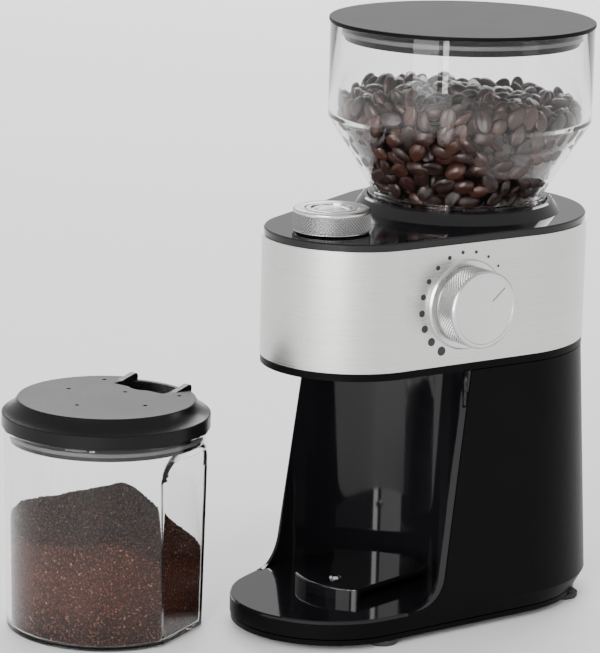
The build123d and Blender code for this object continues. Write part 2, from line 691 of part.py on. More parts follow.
def hopper_lid():
    top = disc(lid_r, hopper_rim + 0.1, lid_top)
    top = fillet(top.edges().group_by(Axis.Z)[-1], 0.6)
    return top + ring(plug_r, plug_r - 1.8, 268.4, hopper_rim + 0.1)


def hopper_lid_seal():
    return ring(plug_r + 1.5, plug_r + 0.05, 271.6, 273.4)


def coffee_beans():
    """The heap of beans as one plain closed solid, just clear of the hopper's walls."""
    wall = hopper_r - hopper_wall - gap
    neck_in = neck_r - 2.6 - gap
    return turned([(0, neck_bottom + 1.6), (neck_in, neck_bottom + 1.6), (neck_in, hopper_neck_z + 0.7),
                   (wall, hopper_shoulder + 1.9), (wall, bean_level), (0, bean_level)])


# ---- grounds container

def flats(inset, z0):
    """The two grip recesses as cutters: flat-backed, with round upper corners, either side."""
    half = sqrt(can_foot_r ** 2 - (can_foot_r - grip_depth) ** 2) + 0.6 * inset
    back = can_foot_r - grip_depth - inset
    recess = block(-half, half, back, back + 20, z0, grip_top + inset)
    recess = fillet(recess.edges().filter_by(Axis.Y).group_by(Axis.Z)[-1], grip_corner + inset)
    return recess + Rot(0, 0, 180) * recess


def can_profile(inset, z0, z1):
    """The drafted outside of the canister, or its inside when inset by the wall."""
    draft = (can_top_r - can_foot_r) / can_h
    low_r = can_foot_r + draft * z0 - inset
    high_r = can_top_r - draft * (can_h - z1) - inset
    return turned([(0, z0), (low_r, z0), (high_r, z1), (0, z1)])


def canister():
    outer = can_profile(0, 0, can_h) - flats(0, -1)
    outer = fillet(outer.edges().filter_by(GeomType.CIRCLE).group_by(Axis.Z)[0], 1.5)
    inner = can_profile(can_wall, can_wall, can_h + 1)
    inner -= flats(can_wall, can_wall - 1)
    inner -= disc(seat_r + 1.2 + can_wall, 0, can_seat_h + can_wall)
    body = outer - inner - disc(seat_r + 1.2, -1, can_seat_h)
    return body


def ground_coffee():
    """The grounds as one plain closed solid with a sloping top."""
    clear = can_wall + gap
    heap = can_profile(clear, clear, 80)
    heap -= flats(clear, 0)
    heap -= disc(seat_r + 1.2 + clear, 0, can_seat_h + clear)
    slope = Rot(0, 0, -can_turn - 48) * (Pos(0, 0, 51) * Rot(0, 12, 0) * Pos(0, 0, 60) * Box(200, 200, 120))
    return heap - slope


def lid_profile():
    """The lid's half section: a flat disc, a coved side, a rim band and a skirt inside the canister."""
    band_end = (rim_r - 0.4, rim_top)
    disc_end = (lid_disc_r + 0.3, lid_disc_z - 0.3)
    cove = ThreePointArc(band_end, (lid_disc_r + 2.6, rim_top + 2.9), disc_end)
    under = rim_top - 1.6
    skirt_r = can_top_r - can_wall - 0.8
    skirt_z = rim_bottom - 6.4
    return cove + Polyline(
        disc_end, (lid_disc_r, lid_disc_z), (0, lid_disc_z), (0, lid_disc_z - 1.8),
        (lid_disc_r - 1.6, lid_disc_z - 1.8), (rim_r - 5.8, under), (rim_r - 5.8, skirt_z),
        (skirt_r, skirt_z), (skirt_r, rim_bottom), (rim_r, rim_bottom), (rim_r, rim_top - 0.4), band_end)


def canister_lid():
    lid = revolve(make_face(Plane.XZ * lid_profile()), Axis.Z)
    mouth = block(mouth_near + 2, 46.6, -mouth_half, mouth_half, 88, 120)
    mouth &= disc(46.4, 80, 130)
    mouth += disc(9, 88, 120, mouth_near + 9) & block(mouth_near, mouth_near + 3, -8, 8, 80, 130)
    lid -= mouth & (disc(39.4, 80, 130) + block(0, 60, -60, 60, lid_disc_z - 1.1, 130))
    ramp = Polyline((mouth_near + 5, lid_disc_z - 0.6), (39.0, lid_disc_z - 4), (39.8, lid_disc_z + 0.4),
                    (39.2, lid_disc_z + 1.8), (37.8, lid_disc_z + 2.1), (mouth_near + 5, lid_disc_z - 0.6))
    cheek = extrude(make_face(Plane.XZ * ramp), 1.5, both=True)
    for side in (-1, 1):
        lid += Pos(0, side * (mouth_half + 1.3), 0) * cheek
    for u, v in vent_holes:
        lid -= disc(1.1, 100, 130, u * lid_disc_r, v * lid_disc_r)
    return lid.solids().sort_by(SortBy.VOLUME)[-1]


def canister_lid_seal():
    inner = can_top_r - can_wall - 0.8
    return ring(inner + 0.55, inner + 0.02, 92.0, 93.6)


# ---- write the sub-parts

builders = [
    column_shell, bay_liner, base_deck, base_tray, rubber_feet, case_screws, cord_gland, container_pin,
    motor_can, motor_magnets, motor_end_cap, motor_brushes, motor_screws, motor_rotor, motor_pinion,
    shaft_bushes, gear_pins, layshaft_gear, drive_gear, burr_shaft, shaft_bearing, shaft_seal,
    gear_plate, gear_cover, lower_burr, upper_burr, burr_hub, feed_nut, burr_chamber, chute, chute_gasket,
    burr_carrier, burr_screws, adjust_ring, adjust_idler, knob_spindle,
    head_band, head_frame, head_floor, top_cover, bean_funnel, hopper_gasket, micro_switches,
    hopper_switch_pin, grind_knob, knob_collar, dial_marks, selector_knob, start_button, selector_switch,
    control_board, hopper, hopper_lid, hopper_lid_seal, coffee_beans,
]
container_builders = {canister: can_turn, ground_coffee: can_turn,
                      canister_lid: lid_turn, canister_lid_seal: lid_turn}

parts = {build.__name__: build() for build in builders}
for build, turn in container_builders.items():
    parts[build.__name__] = Pos(can_x, can_y, 0) * Rot(0, 0, turn) * build()

footprint = one_node(parts.values()).bounding_box()
to_origin = Pos(-footprint.center().X, -footprint.center().Y, 0)

os.makedirs("parts", exist_ok=True)
for name, part in parts.items():
    placed = [to_origin * solid for solid in part.solids()]
    export_step(placed[0] if len(placed) == 1 else Compound(placed), "parts/" + name + ".step")
print(len(parts), "parts, moved by", -footprint.center().X, -footprint.center().Y)
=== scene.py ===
import bpy
import json
import math
import random
from mathutils import Matrix, Vector, noise


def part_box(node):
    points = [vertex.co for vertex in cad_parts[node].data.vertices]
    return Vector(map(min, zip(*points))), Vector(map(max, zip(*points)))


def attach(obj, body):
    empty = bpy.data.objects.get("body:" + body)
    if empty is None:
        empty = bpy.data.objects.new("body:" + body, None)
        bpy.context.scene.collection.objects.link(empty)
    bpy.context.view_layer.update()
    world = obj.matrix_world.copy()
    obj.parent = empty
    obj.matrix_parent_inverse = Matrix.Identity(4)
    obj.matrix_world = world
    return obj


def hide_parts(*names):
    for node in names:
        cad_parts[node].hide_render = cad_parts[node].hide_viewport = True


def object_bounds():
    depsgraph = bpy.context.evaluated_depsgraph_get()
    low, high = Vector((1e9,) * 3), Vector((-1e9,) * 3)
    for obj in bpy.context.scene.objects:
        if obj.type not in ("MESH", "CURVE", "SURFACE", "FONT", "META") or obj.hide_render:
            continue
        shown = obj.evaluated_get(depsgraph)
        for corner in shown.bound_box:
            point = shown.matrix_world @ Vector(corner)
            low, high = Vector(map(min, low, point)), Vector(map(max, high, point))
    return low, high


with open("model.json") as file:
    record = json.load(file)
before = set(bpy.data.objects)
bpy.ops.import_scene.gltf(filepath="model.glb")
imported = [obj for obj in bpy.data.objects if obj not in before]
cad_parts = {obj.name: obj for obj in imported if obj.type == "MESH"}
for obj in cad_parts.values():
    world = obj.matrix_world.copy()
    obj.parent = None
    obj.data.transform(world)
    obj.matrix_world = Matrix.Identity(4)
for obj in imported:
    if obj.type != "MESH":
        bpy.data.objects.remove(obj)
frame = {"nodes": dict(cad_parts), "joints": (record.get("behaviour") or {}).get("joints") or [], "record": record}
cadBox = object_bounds()
print("frame loaded")

mm = 0.001
joints = {joint["name"]: joint for joint in frame["joints"]}
hopperAxis = Vector(joints["burr_spin"]["pos_m"])
selectorAxis = Vector(joints["cup_select"]["pos_m"])
dialPoint = Vector(joints["grind_turn"]["pos_m"])
dialOut = Vector(joints["grind_turn"]["axis"])
canLow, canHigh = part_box("canister")
canAxis = (canLow + canHigh) / 2


# ---- shader maths

class Value:
    # a number that varies over a surface: arithmetic on it adds Math nodes
    def __init__(self, shader, socket):
        self.shader = shader
        self.socket = socket

    def join(self, operation, first, second):
        made = self.shader.node("Math", {"operation": operation}, {0: first, 1: second})
        return Value(self.shader, made.outputs[0])

    def __add__(self, other):
        return self.join("ADD", self, other)

    def __radd__(self, other):
        return self.join("ADD", other, self)

    def __sub__(self, other):
        return self.join("SUBTRACT", self, other)

    def __rsub__(self, other):
        return self.join("SUBTRACT", other, self)

    def __mul__(self, other):
        return self.join("MULTIPLY", self, other)

    def __rmul__(self, other):
        return self.join("MULTIPLY", other, self)


class Shader:
    # one material: fixed values go straight onto its shader's own sockets
    def __init__(self, name, fixed):
        self.material = bpy.data.materials.new(name)
        self.material.use_nodes = True
        self.tree = self.material.node_tree
        self.surface = self.tree.nodes["Principled BSDF"]
        self.feed(self.surface, fixed)
        self.place = self.node("TexCoord").outputs["Object"]

    def feed(self, node, inputs):
        for name, value in inputs.items():
            socket = node.inputs[name]
            if isinstance(value, Value):
                value = value.socket
            if isinstance(value, bpy.types.NodeSocket):
                self.tree.links.new(value, socket)
            elif isinstance(value, tuple) and socket.type == "RGBA":
                socket.default_value = (*value, 1)
            else:
                socket.default_value = value

    def node(self, kind, settings=None, inputs=None):
        made = self.tree.nodes.new("ShaderNode" + kind)
        for name, value in (settings or {}).items():
            if name == "stops":
                self.setStops(made.color_ramp, value)
            else:
                setattr(made, name, value)
        self.feed(made, inputs or {})
        return made

    def setStops(self, ramp, stops):
        while len(ramp.elements) < len(stops):
            ramp.elements.new(1)
        for element, (position, level) in zip(ramp.elements, stops):
            element.position = position
            element.color = (level, level, level, 1)

    def stretched(self, stretch):
        return self.node("Mapping", {}, {"Vector": self.place, "Scale": stretch}).outputs[0]

    def cloud(self, scale, detail=3, stretch=(1, 1, 1)):
        made = self.node("TexNoise", {}, {"Vector": self.stretched(stretch), "Scale": scale, "Detail": detail})
        return Value(self, made.outputs["Fac"])

    def cells(self, scale):
        made = self.node("TexVoronoi", {}, {"Vector": self.place, "Scale": scale})
        return Value(self, made.outputs["Distance"])

    def steps(self, value, stops):
        return Value(self, self.node("ValToRGB", {"stops": stops}, {0: value}).outputs[0])

    def blendColour(self, factor, first, second):
        made = self.node("Mix", {"data_type": "RGBA"}, {0: factor, 6: first, 7: second})
        return made.outputs[2]

    def relief(self, height, depth):
        made = self.node("Bump", {}, {"Height": height, "Distance": depth, "Strength": 1.0})
        self.feed(self.surface, {"Normal": made.outputs[0]})

    def height(self):
        return Value(self, self.node("SeparateXYZ", {}, {0: self.place}).outputs["Z"])

    def attribute(self, name):
        return Value(self, self.node("Attribute", {"attribute_name": name}).outputs["Fac"])


def mouldedPlastic(name, look):
    # moulded plastic: a fine grain, a soft drift in shine and a little dust
    shader = Shader(name, {
        "IOR": look.get("ior", 1.5),
        "Coat Weight": look.get("coat", 0.0),
        "Coat Roughness": look.get("coatRoughness", 0.05),
        "Specular IOR Level": look.get("shine", 0.5),
    })
    drift = shader.cloud(look.get("drift", 25), 4)
    grain = shader.cloud(1 / (look["grainSize"] * mm), 2)
    dust = shader.steps(shader.cloud(900, 2), [(0.66, 0), (0.78, 1)])
    base = shader.blendColour(drift, look["dark"], look["light"])
    dusty = shader.blendColour(dust * look.get("dust", 0.04), base, (0.5, 0.49, 0.47))
    rough = look["roughness"] + look["spread"] * (drift - 0.5) + 0.1 * look["spread"] * grain
    shader.feed(shader.surface, {"Base Color": dusty, "Roughness": rough})
    shader.relief(grain, look["grainDepth"] * mm)
    return shader.material


def drawnMetal(name, look):
    # metal with brush lines: stretch is how closely the lines lie along each axis, per metre
    shader = Shader(name, {"Anisotropic": look.get("anisotropic", 0.0), "Metallic": 1.0})
    lines = shader.cloud(1, 3, look["lines"])
    broad = shader.cloud(1, 3, tuple(0.18 * share for share in look["lines"]))
    drift = shader.cloud(14, 3)
    streak = 0.6 * lines + 0.4 * broad
    base = shader.blendColour(streak, look["dark"], look["light"])
    tarnish = shader.blendColour(drift * 0.25, base, look["warm"])
    rough = look["roughness"] + look["spread"] * (streak - 0.5) + 0.05 * (drift - 0.5)
    shader.feed(shader.surface, {"Base Color": tarnish, "Roughness": rough})
    shader.relief(lines, look["depth"] * mm)
    return shader.material


def turnedMetal(name, look, centre):
    # machined metal: fine rings about an axis through centre, and a darker, rougher colour in a knurl's grooves
    shader = Shader(name, {"Metallic": 1.0, "Anisotropic": 0.3})
    away = shader.node("VectorMath", {"operation": "DISTANCE"}, {0: shader.place, 1: tuple(centre)})
    rings = shader.node("TexNoise", {"noise_dimensions": "1D"}, {
        "W": Value(shader, away.outputs["Value"]) * look["rings"], "Scale": 1.0, "Detail": 3.0})
    turned = Value(shader, rings.outputs["Fac"])
    drift = shader.cloud(60, 3)
    pits = shader.cloud(2600, 2)
    base = shader.blendColour(turned, look["dark"], look["light"])
    warmed = shader.blendColour(drift * 0.3, base, look["warm"])
    # a knurl's grooves get a near-black colour and more roughness
    groove = shader.attribute("groove")
    shader.feed(shader.surface, {
        "Base Color": shader.blendColour(groove, warmed, look["grooveDark"]),
        "Roughness": look["roughness"] + 0.12 * (turned - 0.5) + 0.06 * (pits - 0.5) + 0.25 * groove,
    })
    shader.relief(turned * 0.6 + pits * 0.4, look["depth"] * mm)
    return shader.material


def clearPlastic(name, look):
    # clear moulding: very faint waves and finger haze
    shader = Shader(name, {
        "Base Color": (0.985, 0.99, 0.99),
        "Transmission Weight": 1.0,
        "IOR": look["ior"],
        "Specular IOR Level": look["shine"],
    })
    wave = shader.cloud(look["wave"], 2)
    haze = shader.steps(shader.cloud(40, 4), [(0.5, 0), (0.8, 1)])
    shader.feed(shader.surface, {"Roughness": 0.012 + 0.03 * haze})
    shader.relief(wave, look["depth"] * mm)
    return shader.material


def roastedBean(name, look):
    # oily roasted skin, with each bean its own tone and a darker crease
    shader = Shader(name, {"IOR": 1.46, "Coat Roughness": 0.25, "Subsurface Weight": 0.0})
    tone = shader.attribute("tone")
    crease = shader.attribute("crease")
    mottle = shader.cloud(420, 4)
    wrinkle = shader.cloud(1500, 3)
    base = shader.blendColour(tone, look["dark"], look["light"])
    mottled = shader.blendColour(mottle * 0.55, base, look["red"])
    creased = shader.blendColour(crease * 0.7, mottled, look["crease"])
    shader.feed(shader.surface, {
        "Base Color": creased,
        "Roughness": 0.34 + 0.22 * mottle + 0.2 * crease - 0.1 * tone,
        "Coat Weight": 0.5 - 0.4 * mottle,
    })
    shader.relief(wrinkle * 0.5 + mottle * 0.5, look["depth"] * mm)
    return shader.material


def groundBean(name, look):
    # loose grounds: dark granules with reddish and tan flecks, and a painted band of light half way up
    shader = Shader(name, {"IOR": 1.4, "Specular IOR Level": 0.25})
    grain = shader.cells(900)
    coarse = shader.cells(520)
    fleck = shader.steps(shader.cloud(1150, 2), [(0.55, 0), (0.62, 1)])
    tan = shader.steps(shader.cloud(900, 1), [(0.66, 0), (0.71, 1)])
    # painted light: a paler band round the heap's middle height, broken up by noise, stands in for the light
    # falling across the heap
    above = shader.height() - look["paintedLightHeight"] * mm
    paintedLightBand = 1 - above * above * look["paintedLightFall"]
    lit = shader.steps(paintedLightBand + 0.9 * (shader.cloud(45, 3) - 0.5), [(0.2, 0), (1.0, 1)])
    base = shader.blendColour(lit, look["dark"], look["paintedLightColour"])
    red = shader.blendColour(fleck * 0.7, base, look["red"])
    base = shader.blendColour(tan * 0.55, red, look["tan"])
    shader.feed(shader.surface, {"Base Color": base, "Roughness": 0.78 + 0.2 * grain})
    shader.relief(0.6 * grain + 0.4 * coarse, look["depth"] * mm)
    return shader.material


finishes = {
    "gloss_black": mouldedPlastic("glossBlack", {
        "dark": (0.004, 0.004, 0.005), "light": (0.007, 0.007, 0.008), "roughness": 0.07, "spread": 0.05,
        "grainSize": 2.5, "grainDepth": 0.0012, "dust": 0.01, "shine": 0.35}),
    "satin_black": mouldedPlastic("satinBlack", {
        "dark": (0.0025, 0.0025, 0.0028), "light": (0.0042, 0.0042, 0.0046), "roughness": 0.33, "spread": 0.10,
        "grainSize": 0.5, "grainDepth": 0.003, "dust": 0.006, "shine": 0.035}),
    "inner_black": mouldedPlastic("innerBlack", {
        "dark": (0.03, 0.03, 0.032), "light": (0.05, 0.05, 0.053), "roughness": 0.5, "spread": 0.15,
        "grainSize": 0.7, "grainDepth": 0.015}),
    "band_steel": drawnMetal("bandSteel", {
        "dark": (0.52, 0.52, 0.51), "light": (0.78, 0.78, 0.77), "warm": (0.66, 0.65, 0.63),
        "lines": (14, 14, 3600), "roughness": 0.28, "spread": 0.16, "depth": 0.006, "anisotropic": 0.5}),
    "dial_ink": mouldedPlastic("dialInk", {
        "dark": (0.012, 0.012, 0.014), "light": (0.02, 0.02, 0.023), "roughness": 0.5, "spread": 0.1,
        "grainSize": 0.3, "grainDepth": 0.002}),
    "foot_rubber": mouldedPlastic("footRubber", {
        "dark": (0.012, 0.012, 0.012), "light": (0.022, 0.022, 0.022), "roughness": 0.75, "spread": 0.15,
        "grainSize": 0.4, "grainDepth": 0.02, "dust": 0.12}),
    "seal_silicone": mouldedPlastic("sealSilicone", {
        "dark": (0.10, 0.10, 0.10), "light": (0.15, 0.15, 0.15), "roughness": 0.55, "spread": 0.12,
        "grainSize": 0.6, "grainDepth": 0.01}),
    "fixing_steel": drawnMetal("fixingSteel", {
        "dark": (0.42, 0.42, 0.43), "light": (0.6, 0.6, 0.6), "warm": (0.55, 0.52, 0.45),
        "lines": (900, 900, 300), "roughness": 0.35, "spread": 0.15, "depth": 0.004}),
    "burr_steel": drawnMetal("burrSteel", {
        "dark": (0.34, 0.34, 0.35), "light": (0.5, 0.5, 0.51), "warm": (0.4, 0.38, 0.35),
        "lines": (1500, 300, 600), "roughness": 0.32, "spread": 0.2, "depth": 0.006}),
    "motor_steel": drawnMetal("motorSteel", {
        "dark": (0.30, 0.31, 0.32), "light": (0.45, 0.46, 0.46), "warm": (0.42, 0.38, 0.3),
        "lines": (60, 60, 1400), "roughness": 0.42, "spread": 0.2, "depth": 0.01}),
    "plate_metal": drawnMetal("plateMetal", {
        "dark": (0.45, 0.45, 0.46), "light": (0.62, 0.62, 0.62), "warm": (0.55, 0.54, 0.5),
        "lines": (700, 700, 700), "roughness": 0.5, "spread": 0.15, "depth": 0.02}),
    "bush_bronze": drawnMetal("bushBronze", {
        "dark": (0.42, 0.27, 0.12), "light": (0.6, 0.42, 0.2), "warm": (0.35, 0.2, 0.1),
        "lines": (900, 900, 900), "roughness": 0.45, "spread": 0.15, "depth": 0.01}),
    "magnet_dark": mouldedPlastic("magnetDark", {
        "dark": (0.05, 0.05, 0.055), "light": (0.09, 0.09, 0.095), "roughness": 0.6, "spread": 0.2,
        "grainSize": 0.3, "grainDepth": 0.02}),
    "gear_nylon": mouldedPlastic("gearNylon", {
        "dark": (0.72, 0.69, 0.6), "light": (0.82, 0.8, 0.72), "roughness": 0.42, "spread": 0.12,
        "grainSize": 0.8, "grainDepth": 0.01}),
    "pinion_steel": drawnMetal("pinionSteel", {
        "dark": (0.36, 0.36, 0.37), "light": (0.55, 0.55, 0.55), "warm": (0.5, 0.45, 0.36),
        "lines": (200, 200, 2000), "roughness": 0.3, "spread": 0.18, "depth": 0.005}),
    "board_green": mouldedPlastic("boardGreen", {
        "dark": (0.01, 0.09, 0.03), "light": (0.02, 0.13, 0.05), "roughness": 0.35, "spread": 0.15,
        "grainSize": 1.2, "grainDepth": 0.01}),
    "lid_black": mouldedPlastic("lidBlack", {
        "dark": (0.004, 0.004, 0.0045), "light": (0.007, 0.007, 0.0075), "roughness": 0.26, "spread": 0.08,
        "grainSize": 0.45, "grainDepth": 0.004, "dust": 0.008, "shine": 0.14}),
    "hopper_lid": mouldedPlastic("hopperLidBlack", {
        "dark": (0.004, 0.004, 0.0044), "light": (0.007, 0.007, 0.0074), "roughness": 0.38, "spread": 0.08,
        "grainSize": 0.45, "grainDepth": 0.004, "dust": 0.01, "shine": 0.03}),
    "clear_hopper": clearPlastic("clearHopper", {"ior": 1.33, "wave": 30, "depth": 0.01, "shine": 0.16}),
    "clear_canister": clearPlastic("clearCanister", {"ior": 1.3, "wave": 34, "depth": 0.01, "shine": 0.12}),
    "roasted_bean": roastedBean("roastedSkin", {
        "dark": (0.010, 0.0040, 0.0030), "light": (0.080, 0.026, 0.014), "red": (0.048, 0.013, 0.009),
        "crease": (0.012, 0.006, 0.0045), "depth": 0.06}),
    "ground_bean": groundBean("looseGrounds", {
        # the second colour here and the two numbers on the next line paint a band of light across the grounds
        "dark": (0.010, 0.0042, 0.0034), "paintedLightColour": (0.042, 0.014, 0.0085), "red": (0.15, 0.045, 0.024),
        "tan": (0.44, 0.25, 0.15), "paintedLightHeight": 30, "paintedLightFall": 1400.0, "depth": 0.5}),
}
# the last colour is the near-black of a knurl's grooves
metal = {"dark": (0.58, 0.58, 0.58), "light": (0.80, 0.80, 0.79), "warm": (0.68, 0.67, 0.65),
         "grooveDark": (0.035, 0.035, 0.036)}
finishes["knob_metal"] = turnedMetal("knobMetal", {**metal, "rings": 4200, "roughness": 0.24, "depth": 0.004},
                                     dialPoint)
finishes["pin_metal"] = turnedMetal("pinMetal", {**metal, "rings": 3000, "roughness": 0.1, "depth": 0.002},
                                    hopperAxis)
selectorMetal = turnedMetal("selectorMetal", {**metal, "rings": 4200, "roughness": 0.22, "depth": 0.004},
                            selectorAxis)

slots = {part["node"]: part["material_slot"] for part in frame["record"]["subparts"]}
for node, piece in frame["nodes"].items():
    piece.data.materials.clear()
    piece.data.materials.append(finishes[slots[node]])
print("materials made")


# ---- mesh helpers

def makePiece(name, points, faces, finish, smoothBelow=35):
    mesh = bpy.data.meshes.new(name)
    mesh.from_pydata([tuple(point) for point in points], [], faces)
    mesh.validate()
    mesh.update()
    mesh.shade_smooth()
    mesh.set_sharp_from_angle(angle=math.radians(smoothBelow))
    mesh.materials.append(finish)
    piece = bpy.data.objects.new(name, mesh)
    bpy.context.scene.collection.objects.link(piece)
    return piece


def roundedLine(corners, radius, steps=4, closed=True):
    # the outline with an arc in place of each corner; a third number in a corner is its own radius
    line = []
    count = len(corners)
    for index, corner in enumerate(corners):
        here = Vector(corner[:2])
        size = corner[2] if len(corner) > 2 else radius
        last = not closed and index in (0, count - 1)
        if size == 0 or last:
            line.append(here)
            continue
        before = Vector(corners[index - 1][:2]) - here
        after = Vector(corners[(index + 1) % count][:2]) - here
        half = before.angle(after) / 2
        reach = min(size / math.tan(half), 0.45 * before.length, 0.45 * after.length)
        start = here + before.normalized() * reach
        end = here + after.normalized() * reach
        for step in range(steps + 1):
            share = step / steps
            line.append(start.lerp(here, share).lerp(here.lerp(end, share), share))
    return line


def sweep(rows, columns, place):
    # rows of a closed surface, each a function of the column's angle that gives (radius, height);
    # a row of one point closes an end
    points, starts = [], []
    for row in rows:
        starts.append(len(points))
        if callable(row):
            for column in range(columns):
                angle = 2 * math.pi * column / columns
                radius, height = row(angle)
                points.append(place @ Vector((radius * math.cos(angle), radius * math.sin(angle), height)))
        else:
            points.append(place @ Vector((0, 0, row)))
    faces = []
    for index in range(len(rows) - 1):
        a, b = starts[index], starts[index + 1]
        ringA, ringB = callable(rows[index]), callable(rows[index + 1])
        for column in range(columns):
            after = (column + 1) % columns
            if ringA and ringB:
                faces.append((a + column, a + after, b + after, b + column))
            elif ringA:
                faces.append((a + column, a + after, b))
            elif ringB:
                faces.append((a, b + after, b + column))
    if callable(rows[0]) and callable(rows[-1]):
        a, b = starts[-1], starts[0]
        for column in range(columns):
            after = (column + 1) % columns
            faces.append((a + column, a + after, b + after, b + column))
    return points, faces


def roundRow(radius, height):
    return lambda angle: (radius, height)


def turnedRows(line):
    # rows for a round piece from its half outline in millimetres
    return [point[1] * mm if point[0] < 0.01 else roundRow(point[0] * mm, point[1] * mm) for point in line]


def upright(axis):
    return Matrix.Translation((axis[0], axis[1], 0))


# ---- hopper

hopperLook = {
    "wall": 4.0, "shoulder": 231.7, "neckTop": 195.6, "neckRadius": 40.4, "neckWall": 2.6,
    "flangeOut": 2.1, "flangeLow": 193.9, "flangeHigh": 195.2, "segments": 256,
    # upright ribs under the flange, a wide one in six: half width, low and high
    "ribs": 24, "ribsPerLug": 6, "lug": (5.0, 190.7, 193.2), "rib": (0.9, 189.2, 193.4),
}
hopperLow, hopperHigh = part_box("hopper")
hopperRadius = (hopperHigh.x - hopperLow.x) / 2 / mm
hopperRim, hopperFoot = hopperHigh.z / mm, hopperLow.z / mm


def makeHopper(look):
    inner = hopperRadius - look["wall"]
    neck, neckIn = look["neckRadius"] - 0.4, look["neckRadius"] - look["neckWall"]
    flange = look["neckRadius"] + look["flangeOut"]
    outline = roundedLine([
        (neckIn, hopperFoot), (neck, hopperFoot), (neck, look["flangeLow"]), (flange, look["flangeLow"]),
        (flange, look["flangeHigh"]),
        (look["neckRadius"], look["neckTop"], 1.5), (hopperRadius, look["shoulder"], 1.2),
        (hopperRadius, hopperRim), (inner, hopperRim), (inner, look["shoulder"] + 1.6, 2.5),
        (neckIn, look["neckTop"] + 0.4, 2.0),
    ], 0.35)
    points, faces = sweep(turnedRows(outline), look["segments"], upright(hopperAxis))
    for index in range(look["ribs"]):
        angle = math.radians(360 / look["ribs"] * index)
        wide, low, high = look["lug"] if index % look["ribsPerLug"] == 1 else look["rib"]
        turn = Matrix.Translation((hopperAxis.x, hopperAxis.y, 0)) @ Matrix.Rotation(angle, 4, "Z")
        first = len(points)
        for x, y, z in [(x, y, z) for z in (low, high) for x, y in
                        ((neck - 0.6, -wide), (flange - 0.2, -wide), (flange - 0.2, wide), (neck - 0.6, wide))]:
            points.append(turn @ Vector((x * mm, y * mm, z * mm)))
        for face in [(0, 3, 2, 1), (4, 5, 6, 7), (0, 1, 5, 4), (1, 2, 6, 5), (2, 3, 7, 6), (3, 0, 4, 7)]:
            faces.append(tuple(first + corner for corner in face))
    return makePiece("hopper_clear", points, faces, finishes["clear_hopper"], 50)


hopper = makeHopper(hopperLook)
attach(hopper, "bean_hopper")
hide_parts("hopper")

lidLook = {"skirtIn": 6.45, "skirtWall": 1.8, "skirtLow": 268.4, "dip": 0.25, "seatGap": 0.1, "segments": 192}


def makeHopperLid(look):
    low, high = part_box("hopper_lid")
    radius = (high.x - low.x) / 2 / mm
    skirt = radius - look["skirtIn"]
    top, under = high.z / mm, hopperRim + look["seatGap"]
    outline = roundedLine([
        (0, top - look["dip"], 0), (radius - 3, top - look["dip"], 2), (radius - 1.6, top, 1), (radius, top, 0.7),
        (radius, under, 0.4), (skirt, under, 0.3), (skirt, look["skirtLow"], 0.4),
        (skirt - look["skirtWall"], look["skirtLow"], 0.4), (skirt - look["skirtWall"], under + 0.4, 0.3),
        (0, under + 0.4, 0),
    ], 0.4)
    points, faces = sweep(turnedRows(outline), look["segments"], upright(hopperAxis))
    return makePiece("hopper_lid_disc", points, faces, finishes["hopper_lid"])


hopperLid = makeHopperLid(lidLook)
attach(hopperLid, "bean_lid")
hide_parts("hopper_lid")
print("hopper made")


# ---- coffee beans

beanLook = {
    "length": 11.0, "width": 7.8, "thickness": 5.4, "seed": 11, "columns": 18, "rows": 8,
    "spacing": 6.3, "layers": 2, "top": 238.5, "mound": 4.2, "lowest": 187,
    "wallInset": 3.1, "layerStep": 5.4, "wallTries": 14000, "widest": 58,
    "topReach": 55, "topStep": 4.6, "topTries": 9000, "topTilt": 0.5,
    "sizes": (0.88, 1.06), "tilt": 0.34, "wallGap": 0.15,
}


def beanShape(look):
    # a flat-bottomed ellipsoid with a curved crease along its flat side; x is its length, z its thickness
    points, crease = [], []
    rows, columns = look["rows"], look["columns"]
    for row in range(rows + 1):
        lift = math.pi * row / rows
        for column in range(columns):
            around = 2 * math.pi * column / columns
            x = math.cos(lift)
            y = math.sin(lift) * math.cos(around)
            z = math.sin(lift) * math.sin(around)
            groove = math.exp(-((y - 0.10 * math.sin(2.4 * x)) / 0.17) ** 2) * (z < 0) * (1 - x ** 4)
            z = z * 1.15 if z > 0 else z * 0.62 + 0.42 * groove
            points.append(Vector((x * look["length"] / 2, y * look["width"] / 2, z * look["thickness"] / 2)) * mm)
            crease.append(groove)
    faces = []
    for row in range(rows):
        for column in range(columns):
            after = (column + 1) % columns
            a, b = row * columns, (row + 1) * columns
            faces.append((a + column, b + column, b + after, a + after))
    return points, faces, crease


def innerRadius(height):
    # the hopper's inside at a height, in millimetres
    look = hopperLook
    wide = hopperRadius - look["wall"]
    narrow = look["neckRadius"] - look["neckWall"]
    share = (height - look["neckTop"]) / (look["shoulder"] - look["neckTop"])
    return narrow + (wide - narrow) * min(max(share, 0), 1)


